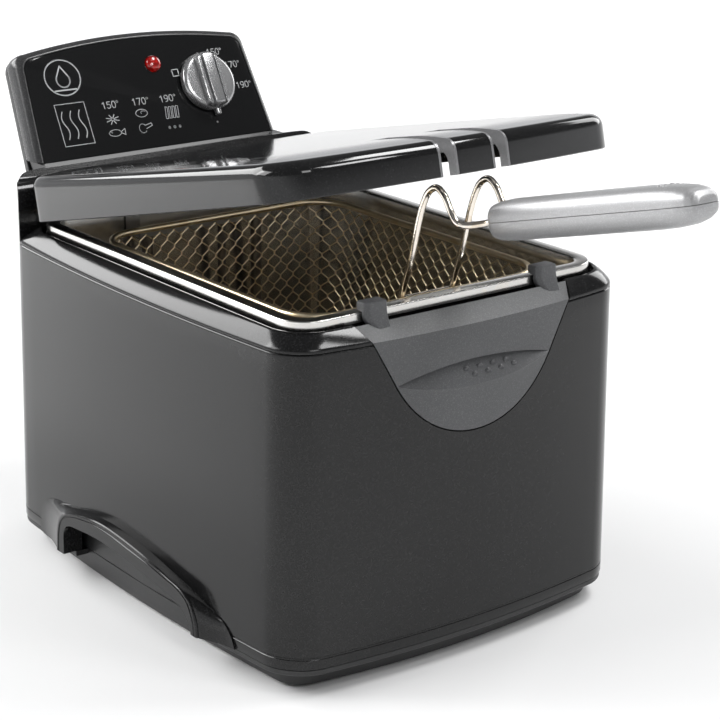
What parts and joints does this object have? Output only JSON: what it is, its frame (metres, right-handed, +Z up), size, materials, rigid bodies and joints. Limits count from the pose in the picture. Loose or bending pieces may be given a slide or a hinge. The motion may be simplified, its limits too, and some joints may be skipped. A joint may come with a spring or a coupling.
{
  "type": "deep fryer",
  "caption": "Rectangular electric deep fryer with a hinged lid, lift-out steel pot, wire basket with a slotted-through handle, front latch and rear control head.",
  "frame": {"origin": "on the bench, at the bottom centre of the box round the whole fryer with its lid open as at rest", "axes": "+X to the right as seen from the front, +Y from the basket grip at the front to the control head at the rear, +Z up"},
  "size_m": [0.2592, 0.5126, 0.2922],
  "materials": {
    "housing_black": "glossy moulded plastic",
    "lid_black": "glossy moulded plastic",
    "panel_black": "gloss panel with printed marks",
    "latch_grey": "fine satin",
    "dark_plastic": "satin moulded plastic",
    "vent_plastic": "satin, ribbed",
    "head_trim": "satin painted edge",
    "pot_steel": "satin pressed stainless steel",
    "basket_wire": "bright plated wire",
    "grip_plastic": "satin moulded plastic",
    "knob_plastic": "satin moulded plastic",
    "slot_trim": "satin light grey",
    "element_steel": "heat-dulled steel",
    "bracket_steel": "plain sheet steel",
    "pin_steel": "drawn steel",
    "lamp_red": "clear red",
    "reset_red": "gloss",
    "foot_rubber": "matt",
    "filter_felt": "needled felt"
  },
  "bodies": {
    "fryer": {"housing_shell": "housing_black", "shoulder_bezel": "housing_black", "rear_tower": "housing_black", "control_panel": "panel_black", "base_pan": "dark_plastic", "finger_pocket_left": "dark_plastic", "finger_pocket_right": "dark_plastic", "latch_bracket": "dark_plastic", "head_rear_shell": "dark_plastic", "lamp_holder": "dark_plastic", "thermostat_body": "dark_plastic", "terminal_block": "dark_plastic", "head_front_shell": "head_trim", "oil_pot": "pot_steel", "basket_mesh": "basket_wire", "basket_rim_wire": "basket_wire", "basket_base_frame": "basket_wire", "handle_wire_left": "basket_wire", "handle_wire_right": "basket_wire", "handle_cross_wire": "basket_wire", "grip_upper": "grip_plastic", "grip_lower": "grip_plastic", "heating_element": "element_steel", "thermostat_probe": "element_steel", "element_bracket": "bracket_steel", "hinge_pin_left": "pin_steel", "hinge_pin_right": "pin_steel", "latch_pin": "pin_steel", "latch_spring": "pin_steel", "base_screw_front_left": "pin_steel", "base_screw_front_right": "pin_steel", "base_screw_rear_left": "pin_steel", "base_screw_rear_right": "pin_steel", "indicator_lens": "lamp_red", "foot_front_left": "foot_rubber", "foot_front_right": "foot_rubber", "foot_rear_left": "foot_rubber", "foot_rear_right": "foot_rubber", "cord_gland": "foot_rubber"},
    "lid": {"lid_shell": "lid_black", "slot_trim_left": "slot_trim", "slot_trim_right": "slot_trim", "vent_cover": "vent_plastic", "filter_pad": "filter_felt", "lid_liner": "bracket_steel"},
    "knob": {"temperature_knob": "knob_plastic", "thermostat_shaft": "pin_steel"},
    "latch": {"front_latch": "latch_grey"},
    "reset": {"reset_button": "reset_red"}
  },
  "joints": [
    {"name": "lid_hinge", "type": "hinge", "parent": "fryer", "child": "lid", "pos_m": [0, 0.18241, 0.215], "axis": [-1, 0, 0], "range_deg": [-14, 66]},
    {"name": "knob_turn", "type": "hinge", "parent": "fryer", "child": "knob", "pos_m": [0.0453, 0.22072, 0.25958], "axis": [0, 0.878, -0.4787], "range_deg": [0, 285]},
    {"name": "latch_pivot", "type": "hinge", "parent": "fryer", "child": "latch", "pos_m": [0, -0.09309, 0.137], "axis": [1, 0, 0], "range_deg": [0, 3.8], "stiffness_Nm_per_rad": 0.6, "springref_deg": -6.88},
    {"name": "reset_press", "type": "slide", "parent": "fryer", "child": "reset", "axis": [0, -0.878, 0.4787], "range_m": [0, 0.002], "stiffness_N_per_m": 300, "springref_m": -0.003}
  ]
}
